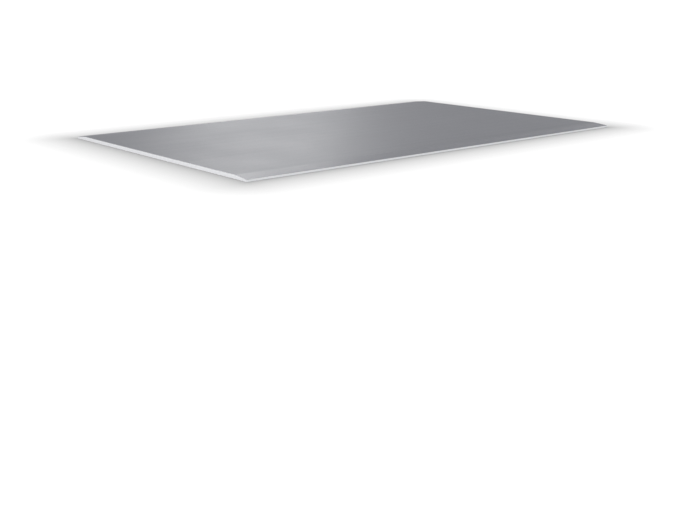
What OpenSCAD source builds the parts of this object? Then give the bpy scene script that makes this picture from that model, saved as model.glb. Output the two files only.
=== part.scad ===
// Drywall sheet: a gypsum board, lying face up on its back.
// The section runs along X. Both long edges are tapered on the face and bound
// by the folded liner, and both ends are cut square.
// The origin is the middle of the back: X length, Y width, Z up through the face.

/* [Sheet] */
// Length, along the bound edges
sheet_length = 2000; // [1000:250:4000]
// Width, from one bound edge to the other
sheet_width = 1250; // [600:50:1300]
// Thickness of the board between its tapers
sheet_thickness = 15; // [12.5:0.5:25]

/* [Tapered edges] */
// Width of each taper, from the edge inwards
taper_width = 70; // [50:1:120]
// How far the taper has dropped below the face at the edge
taper_depth = 7; // [1:0.5:8]
// Radius of the soft bend where the flat face runs into the taper
taper_bend_radius = 200; // [50:10:300]

/* [Folded liner] */
// Radius of the fold between the taper and the edge
face_fold_radius = 1.2; // [0.5:0.1:2]
// Radius of the fold between the edge and the back
back_fold_radius = 1.6; // [0.5:0.1:2.5]

/* [Hidden] */
$fn = 96;
bend_steps = 8;

half_width = sheet_width / 2;
edge_height = sheet_thickness - taper_depth;
taper_angle = atan(taper_depth / taper_width);
taper_start = half_width - taper_width;

// Distance from a corner to where a fillet of that radius begins, for a corner
// at which the outline turns by the given angle
function tangent_length(radius, turn) = radius * tan(turn / 2);

bend_tangent = tangent_length(taper_bend_radius, taper_angle);
fold_tangent = tangent_length(face_fold_radius, 90 - taper_angle);

// The fold leaves the taper at fold_begin and is upright again at fold_end
fold_begin = [half_width - fold_tangent * cos(taper_angle), edge_height + fold_tangent * sin(taper_angle)];
fold_end = [half_width, edge_height - fold_tangent];

// A point of the soft bend, once the face has turned by the given angle
function bend_point(turn) = [
    taper_start - bend_tangent + taper_bend_radius * sin(turn),
    sheet_thickness - taper_bend_radius * (1 - cos(turn))
];

// Half of the board's section, from its middle to one bound edge
module half_section() {
    polygon([
        [0, 0],
        [half_width - back_fold_radius, 0],
        [half_width, back_fold_radius],
        fold_end,
        fold_begin,
        for (step = [bend_steps : -1 : 0]) bend_point(taper_angle * step / bend_steps),
        [0, sheet_thickness]
    ]);
    translate([half_width - face_fold_radius, fold_end.y])
        circle(r = face_fold_radius);
    translate([half_width - back_fold_radius, back_fold_radius])
        circle(r = back_fold_radius);
}

module section() {
    half_section();
    mirror([1, 0])
        half_section();
}

module drywall_sheet() {
    color("darkgray")
        rotate([90, 0, 90])
            linear_extrude(height = sheet_length, center = true)
                section();
}

drywall_sheet();
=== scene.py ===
"""A drywall sheet lying face up on a pale floor: grey liner, white bound edges and raw cut ends."""

import math

import bpy
import numpy as np
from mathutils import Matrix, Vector, noise


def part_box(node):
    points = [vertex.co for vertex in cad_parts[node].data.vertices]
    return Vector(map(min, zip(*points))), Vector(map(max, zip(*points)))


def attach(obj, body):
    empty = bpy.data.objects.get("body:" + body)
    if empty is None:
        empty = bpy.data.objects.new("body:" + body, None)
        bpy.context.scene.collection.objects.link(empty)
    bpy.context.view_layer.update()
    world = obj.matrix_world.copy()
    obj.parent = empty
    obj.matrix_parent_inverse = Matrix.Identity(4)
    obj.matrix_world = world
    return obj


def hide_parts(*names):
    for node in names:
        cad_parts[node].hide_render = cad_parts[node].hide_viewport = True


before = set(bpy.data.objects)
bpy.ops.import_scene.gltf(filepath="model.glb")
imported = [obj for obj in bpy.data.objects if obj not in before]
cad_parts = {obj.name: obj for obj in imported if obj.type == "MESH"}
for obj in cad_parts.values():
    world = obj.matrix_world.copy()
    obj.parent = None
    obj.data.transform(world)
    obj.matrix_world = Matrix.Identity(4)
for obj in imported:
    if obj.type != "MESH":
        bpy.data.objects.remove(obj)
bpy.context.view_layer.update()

# The sheet's box, from the frame, and the rest of its section as the part has it, in metres
sheet_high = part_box("drywall_sheet")[1]
HALF_LENGTH, HALF_WIDTH, THICKNESS = sheet_high
TAPER_WIDTH = 0.070
TAPER_DEPTH = 0.007
BEND_RADIUS = 0.200
FACE_FOLD_RADIUS = 0.0012
BACK_FOLD_RADIUS = 0.0016

# The liner's thickness
LINER = 0.0004

# The strip along each side of the back where the folded liner shows: its width, its step above the back's
# own paper and the run of that step, and how far and how often in a metre the line between them wanders
LAP_WIDTH = 0.024
LAP_STEP = 0.00025
LAP_RISE = 0.0004
LAP_WANDER = 0.0008
LAP_WAVES = 6

# Small unevenness, always inwards: its greatest depth, and its waves in a metre along and across the face,
# along and up the edge, and across and up the liner's cut edge
FACE_WAVE = 0.00008
FACE_WAVES = (2.3, 2.9)
EDGE_WAVE = 0.00025
EDGE_WAVES = (5, 40)
FRAY = 0.00012
FRAY_WAVES = (250, 90)

# The cut gypsum: how far it lies inside the sheet's full length, its roughness, and its grains in a metre,
# which are noise in several octaves, each finer than the last by the ratio and fainter by the falloff
GYPSUM_RECESS = 0.00025
GYPSUM_ROUGH = 0.00012
GYPSUM_GRAINS = 420
GRAIN_FALLOFF = 0.8
GRAIN_RATIO = 2.0
GRAIN_OCTAVES = 4

# Its broken air holes: their spacing, radius and depth. Each draws a value from -1 to 1, at its place times
# PIT_SHUFFLE, and is left out unless that is above PIT_SHUT
PIT_PITCH = 0.0045
PIT_RADIUS = 0.0012
PIT_DEPTH = 0.0006
PIT_SHUT = 0.1
PIT_SHUFFLE = 7.3

# The plane of the noise that each kind of unevenness is read from. For all but the face it changes sign
# with the side or the end, so that the two are not alike
FACE_PLANE = 1
EDGE_PLANE = 3
LAP_PLANE = 7
GRAIN_PLANE = 3
PIT_PLANE = 0.4

# The mesh across the width: the width of a column, the columns in each fold, and how many columns of an end
# make one on the flat between the ends
COLUMN = 0.00125
FOLD_COLUMNS = 4
COARSE = 8
# Through the thickness: the rows, and how many of them the edge has in each fold
ROWS = 14
SIDE_FOLD_ROWS = 3
# Along the length: the rings between the ends, and the strip at each end in which its columns run together
STATIONS = 41
END_STRIP = 0.02
# Faces that meet at more than this angle keep a sharp edge
SHARP_ANGLE = math.radians(35)

# The regions of the board's surface, in the order of their finishes
REGIONS = ("face", "back", "edge", "end")

# The texture map: strips across it, one above the other, with the share of its height that each takes
STRIPS = (("face",), ("back",), ("edge", -1), ("edge", 1),
          ("end", -1, -1), ("end", -1, 1), ("end", 1, -1), ("end", 1, 1))
STRIP_SHARES = {"face": 0.56, "back": 0.26, "edge": 0.038, "end": 0.026}
STRIP_GAP = 0.003
# How far the gypsum's rim is drawn in on the map, in cells, so that the step round it has room there
RIM_INSET = 0.4

# Paper: features in a metre of the board's length, width and thickness
FIBRES = (90, 900, 900)
FLECKS = (300, 700, 700)
STREAKS = (0.35, 55, 55)
CLOUDS = (3, 3, 3)
# How many times its mottle a fleck is darker, and the noise values between which it sets in
FLECK_DARKNESS = 3
FLECK_START = 0.64
FLECK_STOP = 0.72
# How far the fibres stand out, and how far the roughness strays
FIBRE_HEIGHT = 0.00003
ROUGHNESS_SPREAD = 0.03

# Gypsum: its colour, crumbs and drag marks in a metre, the crumbs' height, and its pores in a metre,
# painted darker for the shade inside them
GYPSUM_COLOUR = (0.86, 0.865, 0.885)
CRUMBS = (700, 700, 700)
DRAG_MARKS = (30, 260, 30)
CRUMB_HEIGHT = 0.0002
PORES = 520.0
# In cells: how much narrower than the widest a pore can be, and the distances between which its painted
# shade fades
PORE_SPREAD = 0.2
PORE_CORE = 0.12
PORE_RIM = 0.38

# The floor: its gap below the sheet, its reach, and how far from the sheet its painted shadow has faded to
# white
FLOOR_GAP = 0.0002
FLOOR_REACH = 60
PAINTED_SHADOW_REACH = 0.6
# Its tone where it is seen, which paints a shadow close to the sheet until the glow has brought it to
# white, and its tone where it only sends light back up
FLOOR_PAINTED_SHADE = 0.5
FLOOR_BOUNCE = 0.9
# How far inside the sheet's ends and long edges it begins to let light up to the back
FLOOR_UNDER = (0.0003, BACK_FOLD_RADIUS, 0)

# The light from all round
AMBIENT = 0.7
# The lamps, in metres and watts
LAMPS = {
    "left": dict(place=(-5.2, -2.2, 1.1), target=(0, 0, 0), width=2.4, height=1.6, watts=55),
    "right": dict(place=(5.5, 1.0, 1.3), target=(0, 0, 0), width=2.4, height=1.6, watts=55),
    "front": dict(place=(1.8, -5.2, 1.8), target=(0.5, 0, 0), width=3.0, height=1.6, watts=20),
    "back": dict(place=(-1.5, 5.2, 1.8), target=(-0.5, 0, 0), width=3.0, height=1.6, watts=20),
    "below": dict(place=(-1.5, -2.5, -4.0), target=(0, 0, 0), width=4.0, height=4.0, watts=55),
}
# The streak on the face is this card's reflection, so it sends light to gloss alone
CARD = dict(place=(2.39, 4.05, 2.1), target=(0, 0, 0.4), width=1.6, height=1.6, watts=216)

# The photo's camera, in the sheet's frame
PHOTO_WIDTH = 683
FOCAL_PIXELS = 985.05
CAMERA_PLACE = Vector((-2.831, -3.278, 0.6357))
CAMERA_HEADING = math.radians(40.18)
CAMERA_DOWN = math.radians(15.49)
# Its sensor in millimetres, and how far it sees
SENSOR_WIDTH = 36
CLIP_END = 200

# What follows from the sizes: the taper, its bend, the fold at the face and the lap
taper_angle = math.atan2(TAPER_DEPTH, TAPER_WIDTH)
bend_tangent = BEND_RADIUS * math.tan(taper_angle / 2)
bend_begin = HALF_WIDTH - TAPER_WIDTH - bend_tangent
bend_end = bend_begin + BEND_RADIUS * math.sin(taper_angle)
fold_turn = math.pi / 2 - taper_angle
face_fold_height = THICKNESS - TAPER_DEPTH - FACE_FOLD_RADIUS * math.tan(fold_turn / 2)
lap_line = HALF_WIDTH - LAP_WIDTH
# The height above which a point counts as the face's, and how near the lap line one wanders with it
face_lowest = face_fold_height + FACE_FOLD_RADIUS / 2
lap_reach = LAP_RISE * 1.5


# The section

def face_height(y):
    """Height of the face at a distance y from the middle line: flat, then the soft bend, then the taper."""
    if y <= bend_begin:
        return THICKNESS
    if y <= bend_end:
        turn = math.asin((y - bend_begin) / BEND_RADIUS)
        return THICKNESS - BEND_RADIUS * (1 - math.cos(turn))
    return THICKNESS - (y - HALF_WIDTH + TAPER_WIDTH) * math.tan(taper_angle)


def back_height(y):
    """Height of the back, which steps up to the strip where only the folded liner shows."""
    return LAP_STEP * min(max((y - lap_line) / LAP_RISE, 0), 1)


def face_fold(turn):
    """A point of the fold between face and edge, by the angle of its outward direction above level."""
    return (HALF_WIDTH - FACE_FOLD_RADIUS * (1 - math.cos(turn)),
            face_fold_height + FACE_FOLD_RADIUS * math.sin(turn))


def back_fold(turn):
    """A point of the fold between edge and back, by the same angle, below level here."""
    return (HALF_WIDTH - BACK_FOLD_RADIUS * (1 - math.cos(turn)),
            LAP_STEP + BACK_FOLD_RADIUS * (1 + math.sin(turn)))


def half_columns():
    """Columns from the middle almost to the edge, each a point of the back and one of the face over it."""
    fold_begin = HALF_WIDTH - 2 * BACK_FOLD_RADIUS
    special = [0, bend_begin, bend_end, lap_line, lap_line + LAP_RISE, fold_begin]
    closest = COLUMN / 3
    regular = [y for y in np.arange(COLUMN, fold_begin, COLUMN)
               if min(abs(y - other) for other in special) > closest]
    columns = [((y, back_height(y)), (y, face_height(y))) for y in sorted(special + regular)]
    for step in range(FOLD_COLUMNS):
        part = step / FOLD_COLUMNS
        columns.append((back_fold(-math.pi / 2 + part * math.pi / 4),
                        face_fold(fold_turn * (1 - part / 2))))
    return columns


def side_column():
    """The edge itself, from the middle of the back fold to the middle of the face fold."""
    parts = np.linspace(0, 1, SIDE_FOLD_ROWS + 1)
    below = [back_fold(-math.pi / 4 * (1 - part)) for part in parts]
    above = [face_fold(fold_turn / 2 * part) for part in parts]
    between = np.linspace(below[-1][1], above[0][1], ROWS - 2 * SIDE_FOLD_ROWS + 1)[1:-1]
    return below + [(HALF_WIDTH, z) for z in between] + above


def section_grid():
    """The section as a grid of points. Its outermost columns and rows are about as thick as the liner."""
    back, face = np.array(half_columns()).transpose(1, 0, 2)
    ply = LINER / (face[:, 1] - back[:, 1])
    inner = np.linspace(0, 1, ROWS - 1)[:, None]
    level = np.vstack([np.zeros_like(ply), ply + inner * (1 - 2 * ply), np.ones_like(ply)]).T[:, :, None]
    grid = back[:, None] * (1 - level) + face[:, None] * level
    grid = np.concatenate([grid, [side_column()]])
    return np.concatenate([grid[:0:-1] * (-1, 1), grid])


def loop_order(columns, rows):
    """Grid places round the section's outline: along the back, up the edge, over the face and down."""
    return ([(column, 0) for column in range(columns)]
            + [(columns - 1, row) for row in range(1, rows)]
            + [(column, rows - 1) for column in range(columns - 2, -1, -1)]
            + [(0, row) for row in range(rows - 2, 0, -1)])


# The unevenness

def ripple(x, y, z):
    """Smooth noise, from 0 to 1."""
    return 0.5 + 0.5 * noise.noise(Vector((x, y, z)))


def uneven(x, y, z):
    """A point of the skin, as real paper lies: face and edge a little inwards, the lap line to and fro."""
    side = math.copysign(1, y)
    if z > face_lowest:
        along, across = FACE_WAVES
        z -= FACE_WAVE * ripple(along * x, across * y, FACE_PLANE)
    if abs(y) > HALF_WIDTH - BACK_FOLD_RADIUS:
        along, up = EDGE_WAVES
        y -= side * EDGE_WAVE * ripple(along * x, EDGE_PLANE * side, up * z)
    if z <= LAP_STEP and abs(abs(y) - lap_line) < lap_reach:
        y += side * LAP_WANDER * noise.noise(Vector((LAP_WAVES * x, LAP_PLANE * side, 0)))
    return x, y, z


def fray(end, y, z):
    """How far the liner's cut edge lies inside the sheet's full length."""
    across, up = FRAY_WAVES
    return FRAY * ripple(across * y, up * z, end)


def gypsum_depth(end, y, z):
    """How far the cut gypsum lies inside the sheet's full length, with its broken air holes."""
    grain_place = Vector((GYPSUM_GRAINS * y, GYPSUM_GRAINS * z, GRAIN_PLANE * end))
    rough = noise.fractal(grain_place, GRAIN_FALLOFF, GRAIN_RATIO, GRAIN_OCTAVES)
    distances, middles = noise.voronoi(Vector((y / PIT_PITCH, z / PIT_PITCH, PIT_PLANE * end)))
    is_open = noise.cell(middles[0] * PIT_SHUFFLE) > PIT_SHUT
    hollow = max(0, 1 - distances[0] * PIT_PITCH / PIT_RADIUS)
    return GYPSUM_RECESS + GYPSUM_ROUGH * (1 + rough) + PIT_DEPTH * is_open * hollow


# The mesh

class Builder:
    """Collects points and faces, each face with its region and its corners on the texture map."""

    def __init__(self):
        self.points = []
        self.faces = []
        self.regions = []
        self.spots = []

    def point(self, place):
        """Adds a point and returns its number."""
        self.points.append(place)
        return len(self.points) - 1

    def face(self, corners, region, spots):
        """Adds a face."""
        self.faces.append(corners)
        self.regions.append(region)
        self.spots.extend(spots)


# Each strip's start and height on the texture map
strip_heights = [STRIP_SHARES[strip[0]] for strip in STRIPS]
strip_starts = np.cumsum([0] + strip_heights[:-1])
strip_spans = dict(zip(STRIPS, zip(strip_starts, strip_heights)))


def map_spot(strip, along, across):
    """A spot on the texture map, from shares of a strip's length and height."""
    start, height = strip_spans[strip]
    return (STRIP_GAP + along * (1 - 2 * STRIP_GAP),
            start + STRIP_GAP + across * (height - 2 * STRIP_GAP))


def skin_spot(region, x, y, z):
    """Where a point of the paper lies on the texture map, with the edge's lap and folds laid out flat."""
    along = 0.5 + x / HALF_LENGTH / 2
    if region != "edge":
        return map_spot((region,), along, 0.5 + y / HALF_WIDTH / 2)
    inset = HALF_WIDTH - abs(y)
    unfolded = z + inset if z > face_fold_height else z - inset
    across = (unfolded + LAP_WIDTH) / (LAP_WIDTH + THICKNESS - TAPER_DEPTH)
    return map_spot(("edge", int(math.copysign(1, y))), along, across)


# The lowest that the face's own paper comes, a little way down the fold to the edge
face_paper_end = face_height(HALF_WIDTH - FACE_FOLD_RADIUS * math.cos(taper_angle)) - FACE_FOLD_RADIUS / 4


def skin_region(first, second):
    """Which paper covers the stretch of outline between two points of the section."""
    y = (abs(first[0]) + abs(second[0])) / 2
    z = (first[1] + second[1]) / 2
    if z <= LAP_STEP and y < lap_line + LAP_RISE:
        return "back"
    return "face" if z >= face_paper_end else "edge"


def build_skin(built, grid):
    """The paper all round, as rings along the length. Returns the two end rings by place in the grid.

    The end rings have every column. The rings between them have fewer on the flat of the board.
    """
    order = loop_order(*grid.shape[:2])
    outline = [tuple(grid[place]) for place in order]
    size = len(outline)
    flat = bend_begin - COARSE * COLUMN
    kept = [index for index, (y, z) in enumerate(outline) if abs(y) > flat or index % COARSE == 0]
    spans = list(zip(kept, kept[1:] + [size]))
    regions = [skin_region(outline[index], outline[(index + 1) % size]) for index in kept]

    def ring_point(x, index):
        """A new point of a ring, frayed where the ring is an end of the sheet."""
        y, z = outline[index]
        if abs(x) == HALF_LENGTH:
            end = math.copysign(1, x)
            x -= end * fray(end, y, z)
        return built.point(uneven(x, y, z))

    between = np.linspace(END_STRIP - HALF_LENGTH, HALF_LENGTH - END_STRIP, STATIONS)
    stations = [-HALF_LENGTH, *between, HALF_LENGTH]
    last = len(stations) - 1
    rings = [{index: ring_point(x, index) for index in (range(size) if ring in (0, last) else kept)}
             for ring, x in enumerate(stations)]

    def add(corners, region):
        """A new face, its corners given by ring and place on the outline."""
        spots = [skin_spot(region, stations[ring], *outline[index]) for ring, index in corners]
        built.face([rings[ring][index] for ring, index in corners], region, spots)

    for (begin, stop), region in zip(spans, regions):
        stretch = [index % size for index in range(begin, stop + 1)]
        stop %= size
        add([(0, index) for index in stretch] + [(1, stop), (1, begin)], region)
        for ring in range(1, last - 1):
            add([(ring, begin), (ring, stop), (ring + 1, stop), (ring + 1, begin)], region)
        add([(last - 1, begin), (last - 1, stop)] + [(last, index) for index in reversed(stretch)], region)
    return [{place: ring[index] for index, place in enumerate(order)} for ring in (rings[0], rings[-1])]


def build_end(built, grid, end, rim):
    """One cut end: the liner's edge all round, a small step, and the gypsum inside it."""
    columns, rows = grid.shape[:2]
    middle = columns // 2
    rim_columns = (1, columns - 2)
    rim_rows = (1, rows - 2)
    lip = {}
    core = {}
    for column in range(1, columns - 1):
        for row in range(1, rows - 1):
            y, z = grid[column, row]
            core[column, row] = built.point((end * (HALF_LENGTH - gypsum_depth(end, y, z)), y, z))
            if column in rim_columns or row in rim_rows:
                lip[column, row] = built.point((end * (HALF_LENGTH - fray(end, y, z)), y, z))

    def spot(place, side, inner):
        """Where a point of the end lies on the texture map. The inner points are the gypsum's."""
        column, row = place
        along = abs(grid[place][0]) / HALF_WIDTH
        across = row / (rows - 1)
        if inner and row in rim_rows:
            across += math.copysign(RIM_INSET / (rows - 1), 0.5 - across)
        if inner and column in rim_columns:
            along -= RIM_INSET * COLUMN / HALF_WIDTH
        return map_spot(("end", end, side), along, across)

    def add(corners, region):
        """A new face, its corners given by place in the grid and by whether they are inner points."""
        side = 1 if max(place[0] for place, _ in corners) > middle else -1
        points = [core[place] if inner else lip.get(place, rim.get(place)) for place, inner in corners]
        spots = [spot(place, side, inner) for place, inner in corners]
        built.face(points[::end], region, spots[::end])

    def liner(column, row):
        """Which paper a cell of the liner's cut edge belongs to."""
        if row in (0, rows - 2):
            level = rows - 1 if row else 0
            return skin_region(grid[column, level], grid[column + 1, level])
        return "edge"

    for column in range(columns - 1):
        for row in range(rows - 1):
            cell = [(column, row), (column + 1, row), (column + 1, row + 1), (column, row + 1)]
            inside = all(place in core for place in cell)
            add([(place, inside) for place in cell], "end" if inside else liner(column, row))
    ring = [(column + 1, row + 1) for column, row in loop_order(columns - 2, rows - 2)]
    for here, there in zip(ring, ring[1:] + ring[:1]):
        add([(here, False), (there, False), (there, True), (here, True)], "end")


def make_board():
    """The whole board as one closed mesh."""
    grid = section_grid()
    built = Builder()
    rims = build_skin(built, grid)
    for end, rim in zip((-1, 1), rims):
        build_end(built, grid, end, rim)
    mesh = bpy.data.meshes.new("board")
    mesh.from_pydata(built.points, [], built.faces)
    mesh.polygons.foreach_set("material_index", [REGIONS.index(region) for region in built.regions])
    mesh.uv_layers.new(name="OFBake").uv.foreach_set("vector", np.ravel(built.spots))
    mesh.shade_smooth()
    mesh.set_sharp_from_angle(angle=SHARP_ANGLE)
    board = bpy.data.objects.new("board", mesh)
    bpy.context.collection.objects.link(board)
    return board


# The materials

def add_node(tree, kind, inputs=None, **settings):
    """A new node with its settings and inputs. An input is a value, or a socket to link."""
    made = tree.nodes.new(kind)
    for name, value in settings.items():
        setattr(made, name, value)
    for name, value in (inputs or {}).items():
        if isinstance(value, bpy.types.NodeSocket):
            tree.links.new(value, made.inputs[name])
        else:
            made.inputs[name].default_value = value
    return made


def new_material(name):
    """A new material: itself, its tree, its shader and a socket with the place on the board in metres."""
    material = bpy.data.materials.new(name)
    material.use_nodes = True
    tree = material.node_tree
    shader = tree.nodes["Principled BSDF"]
    place = add_node(tree, "ShaderNodeTexCoord").outputs["Object"]
    return material, tree, shader, place


def grain(tree, place, scale, detail=3.0, roughness=0.55):
    """Noise with its own scale along each axis, in features for each metre."""
    spread = add_node(tree, "ShaderNodeMapping", {"Vector": place, "Scale": scale})
    made = add_node(tree, "ShaderNodeTexNoise",
                    {"Vector": spread.outputs[0], "Scale": 1.0, "Detail": detail, "Roughness": roughness})
    return made.outputs["Fac"]


def spread_to(tree, value, low, high, start=0.3, stop=0.7):
    """A value between start and stop, drawn out to the range from low to high.

    Noise lies mostly between the start and stop that stand here.
    """
    made = add_node(tree, "ShaderNodeMapRange", {"Value": value, "From Min": start, "From Max": stop,
                                                 "To Min": low, "To Max": high})
    return made.outputs[0]


def calculate(tree, operation, first, second=0.0):
    """The result of an operation on one or two numbers."""
    return add_node(tree, "ShaderNodeMath", {0: first, 1: second}, operation=operation).outputs[0]


def calculate_vector(tree, operation, first, second=(0, 0, 0), result="Vector"):
    """The result of an operation on one or two vectors."""
    made = add_node(tree, "ShaderNodeVectorMath", {0: first, 1: second}, operation=operation)
    return made.outputs[result]


def product(tree, *values):
    """All the values multiplied."""
    result = values[0]
    for value in values[1:]:
        result = calculate(tree, "MULTIPLY", result, value)
    return result


def tinted(tree, colour, shade):
    """The colour, times a shade that varies over the surface."""
    made = add_node(tree, "ShaderNodeVectorMath", {0: colour, "Scale": shade}, operation="SCALE")
    return made.outputs[0]


def bump(tree, shader, height, depth):
    """Gives the shader a relief, from a height between 0 and 1 and its depth in metres."""
    made = add_node(tree, "ShaderNodeBump", {"Height": height, "Distance": depth, "Strength": 1.0})
    tree.links.new(made.outputs[0], shader.inputs["Normal"])


def on_taper(tree, place):
    """0 on the flat of the board and 1 on its tapers, which are smoother and painted a little paler for the
    light they catch.
    """
    across = add_node(tree, "ShaderNodeSeparateXYZ", {"Vector": place}).outputs["Y"]
    return spread_to(tree, calculate(tree, "ABSOLUTE", across), 0, 1, bend_begin, bend_end)


def paper(name, colour, mottle, roughness, specular, ior=1.5, taper_smoothing_and_painted_light=0.0):
    """Liner paper: fibres along the board, dark flecks, faint streaks from the machine and soft clouds.

    Mottle is how far its tone strays, and taper_smoothing_and_painted_light is how much smoother the tapers
    are, and how much paler they are painted for the light they catch.
    """
    material, tree, shader, place = new_material(name)
    fibres = grain(tree, place, FIBRES, detail=4, roughness=0.65)
    flecks = grain(tree, place, FLECKS, detail=2)
    streaks = grain(tree, place, STREAKS)
    clouds = grain(tree, place, CLOUDS)
    taper = on_taper(tree, place)
    # The last factor paints the tapers paler, standing in for the light that falls on their tilt; the
    # roughness below makes them smoother
    shade = product(tree,
                    spread_to(tree, fibres, 1 - mottle, 1 + mottle),
                    spread_to(tree, flecks, 1, 1 - FLECK_DARKNESS * mottle, FLECK_START, FLECK_STOP),
                    spread_to(tree, streaks, 1 - mottle / 2, 1 + mottle / 2),
                    spread_to(tree, clouds, 1 - mottle / 2, 1 + mottle / 2),
                    spread_to(tree, taper, 1, 1 + taper_smoothing_and_painted_light, 0, 1))
    tree.links.new(tinted(tree, colour, shade), shader.inputs["Base Color"])
    unpressed = spread_to(tree, clouds, roughness - ROUGHNESS_SPREAD, roughness + ROUGHNESS_SPREAD)
    matt = calculate(tree, "SUBTRACT", unpressed, product(tree, taper, taper_smoothing_and_painted_light))
    tree.links.new(matt, shader.inputs["Roughness"])
    shader.inputs["Specular IOR Level"].default_value = specular
    shader.inputs["IOR"].default_value = ior
    bump(tree, shader, fibres, FIBRE_HEIGHT)
    return material


def gypsum():
    """Cut gypsum: chalky white, with a faint drag from the cut, and air holes of many sizes painted darker
    for the shade inside them.
    """
    material, tree, shader, place = new_material("gypsum")
    crumbs = grain(tree, place, CRUMBS, detail=5, roughness=0.7)
    drag = grain(tree, place, DRAG_MARKS, detail=2)
    cells = add_node(tree, "ShaderNodeTexVoronoi", {"Vector": place, "Scale": PORES}).outputs
    smaller = add_node(tree, "ShaderNodeSeparateXYZ", {"Vector": cells["Color"]}).outputs["Y"]
    painted_pore_shade = calculate(tree, "ADD", cells["Distance"], product(tree, smaller, PORE_SPREAD))
    shade = product(tree,
                    spread_to(tree, crumbs, low=0.95, high=1.03),
                    spread_to(tree, drag, low=0.97, high=1.01),
                    # The pores' factor is painted shade, darker at each hole's middle
                    spread_to(tree, painted_pore_shade, low=0.68, high=1.0, start=PORE_CORE, stop=PORE_RIM))
    tree.links.new(tinted(tree, GYPSUM_COLOUR, shade), shader.inputs["Base Color"])
    shader.inputs["Roughness"].default_value = 0.95
    shader.inputs["Specular IOR Level"].default_value = 0.15
    bump(tree, shader, crumbs, CRUMB_HEIGHT)
    return material


# The studio

def aim(thing, place, target):
    """Puts a lamp or camera in its place, looking at the target."""
    thing.location = place
    thing.rotation_mode = "QUATERNION"
    thing.rotation_quaternion = (Vector(target) - Vector(place)).to_track_quat("-Z", "Y")


def softbox(name, place, target, width, height, watts):
    """A rectangular lamp that the camera doesn't see."""
    light = bpy.data.lights.new(name, "AREA")
    light.shape = "RECTANGLE"
    light.size, light.size_y = width, height
    light.energy = watts
    lamp = bpy.data.objects.new(name, light)
    bpy.context.collection.objects.link(lamp)
    lamp.visible_camera = False
    aim(lamp, place, target)
    return lamp


def make_lamps():
    """The soft studio lamps, and the card for the streak."""
    for name, settings in LAMPS.items():
        softbox(name, **settings)
    card = softbox("card", **CARD)
    card.visible_diffuse = False


def seen_directly(tree):
    """1 where a ray is the camera's, or one that a mirror or glass sends on, and 0 elsewhere."""
    path = add_node(tree, "ShaderNodeLightPath").outputs
    either = calculate(tree, "MAXIMUM", path["Is Camera Ray"], path["Is Glossy Ray"])
    return calculate(tree, "MAXIMUM", either, path["Is Transmission Ray"])


def make_world():
    """White where it is seen, and at the ambient level where it lights the object."""
    world = bpy.data.worlds.new("studio")
    bpy.context.scene.world = world
    world.use_nodes = True
    tree = world.node_tree
    background = tree.nodes["Background"]
    background.inputs["Color"].default_value = (1, 1, 1, 1)
    strength = spread_to(tree, seen_directly(tree), AMBIENT, 1, 0, 1)
    tree.links.new(strength, background.inputs["Strength"])


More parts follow.
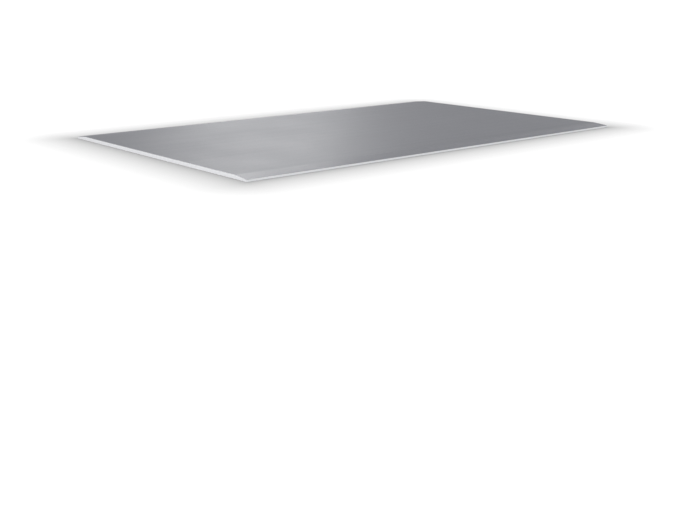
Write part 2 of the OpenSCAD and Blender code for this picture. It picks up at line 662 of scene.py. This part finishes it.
def floor_material():
    """Pale where it is seen, painted dark close to the sheet and glowing to white further off, as a painted
    shadow round the sheet.

    From below it is clear, and under the sheet it lets light up to the back, so that the back is seen too.
    """
    material = bpy.data.materials.new("floor")
    material.use_nodes = True
    tree = material.node_tree
    tree.nodes.clear()
    place = add_node(tree, "ShaderNodeTexCoord").outputs["Object"]
    past = calculate_vector(tree, "SUBTRACT", calculate_vector(tree, "ABSOLUTE", place), sheet_high)
    outside = calculate_vector(tree, "MAXIMUM", past)
    away = calculate_vector(tree, "LENGTH", outside, result="Value")
    # Seen from the camera, the floor is darker at the sheet and glows brighter with the distance from its
    # outline: a painted shadow round the sheet
    painted_glow_level = calculate(tree, "SQRT", spread_to(tree, away, 0, 1, 0, PAINTED_SHADOW_REACH))
    seen = seen_directly(tree)
    glow = add_node(tree, "ShaderNodeEmission", {"Strength": product(tree, seen, painted_glow_level)})
    tone = spread_to(tree, seen, FLOOR_BOUNCE, FLOOR_PAINTED_SHADE, 0, 1)
    diffuse = add_node(tree, "ShaderNodeBsdfDiffuse", {"Color": tone})
    top = add_node(tree, "ShaderNodeAddShader", {0: diffuse.outputs[0], 1: glow.outputs[0]})

    beyond = calculate_vector(tree, "ADD", past, FLOOR_UNDER)
    sides = add_node(tree, "ShaderNodeSeparateXYZ", {"Vector": beyond}).outputs
    under = calculate(tree, "LESS_THAN", calculate(tree, "MAXIMUM", sides["X"], sides["Y"]), 0)
    camera_ray = add_node(tree, "ShaderNodeLightPath").outputs["Is Camera Ray"]
    lit = product(tree, under, calculate(tree, "SUBTRACT", 1, camera_ray))
    backfacing = add_node(tree, "ShaderNodeNewGeometry").outputs["Backfacing"]
    clear = add_node(tree, "ShaderNodeBsdfTransparent").outputs[0]
    both = add_node(tree, "ShaderNodeMixShader",
                    {0: calculate(tree, "MAXIMUM", backfacing, lit), 1: top.outputs[0], 2: clear})
    add_node(tree, "ShaderNodeOutputMaterial", {"Surface": both.outputs[0]})
    return material


def make_floor():
    """One large square just below the sheet."""
    mesh = bpy.data.meshes.new("floor")
    turns = ((-1, -1), (1, -1), (1, 1), (-1, 1))
    corners = [(x * FLOOR_REACH, y * FLOOR_REACH, -FLOOR_GAP) for x, y in turns]
    mesh.from_pydata(corners, [], [(0, 1, 2, 3)])
    mesh.materials.append(floor_material())
    floor = bpy.data.objects.new("floor", mesh)
    bpy.context.collection.objects.link(floor)


def make_camera():
    """The camera where the photo's was."""
    data = bpy.data.cameras.new("camera")
    data.sensor_width = SENSOR_WIDTH
    data.lens = FOCAL_PIXELS * SENSOR_WIDTH / PHOTO_WIDTH
    data.clip_end = CLIP_END
    camera = bpy.data.objects.new("camera", data)
    bpy.context.collection.objects.link(camera)
    level = math.cos(CAMERA_DOWN)
    ahead = Vector((math.sin(CAMERA_HEADING) * level,
                    math.cos(CAMERA_HEADING) * level,
                    -math.sin(CAMERA_DOWN)))
    aim(camera, CAMERA_PLACE, CAMERA_PLACE + ahead)
    bpy.context.scene.camera = camera


# The scene

board = make_board()
finishes = {
    "face": paper("face_liner", colour=(0.248, 0.252, 0.273), mottle=0.06, roughness=0.5,
                  specular=0.1, ior=1.115, taper_smoothing_and_painted_light=0.06),
    "back": paper("back_liner", colour=(0.27, 0.262, 0.248), mottle=0.12, roughness=0.7, specular=0.1),
    "edge": paper("edge_liner", colour=(0.8, 0.81, 0.83), mottle=0.05, roughness=0.75, specular=0.2),
    "end": gypsum(),
}
for region in REGIONS:
    board.data.materials.append(finishes[region])
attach(board, "root")
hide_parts("drywall_sheet")

bpy.context.scene.view_settings.view_transform = "Standard"
make_camera()
make_floor()
make_world()
make_lamps()
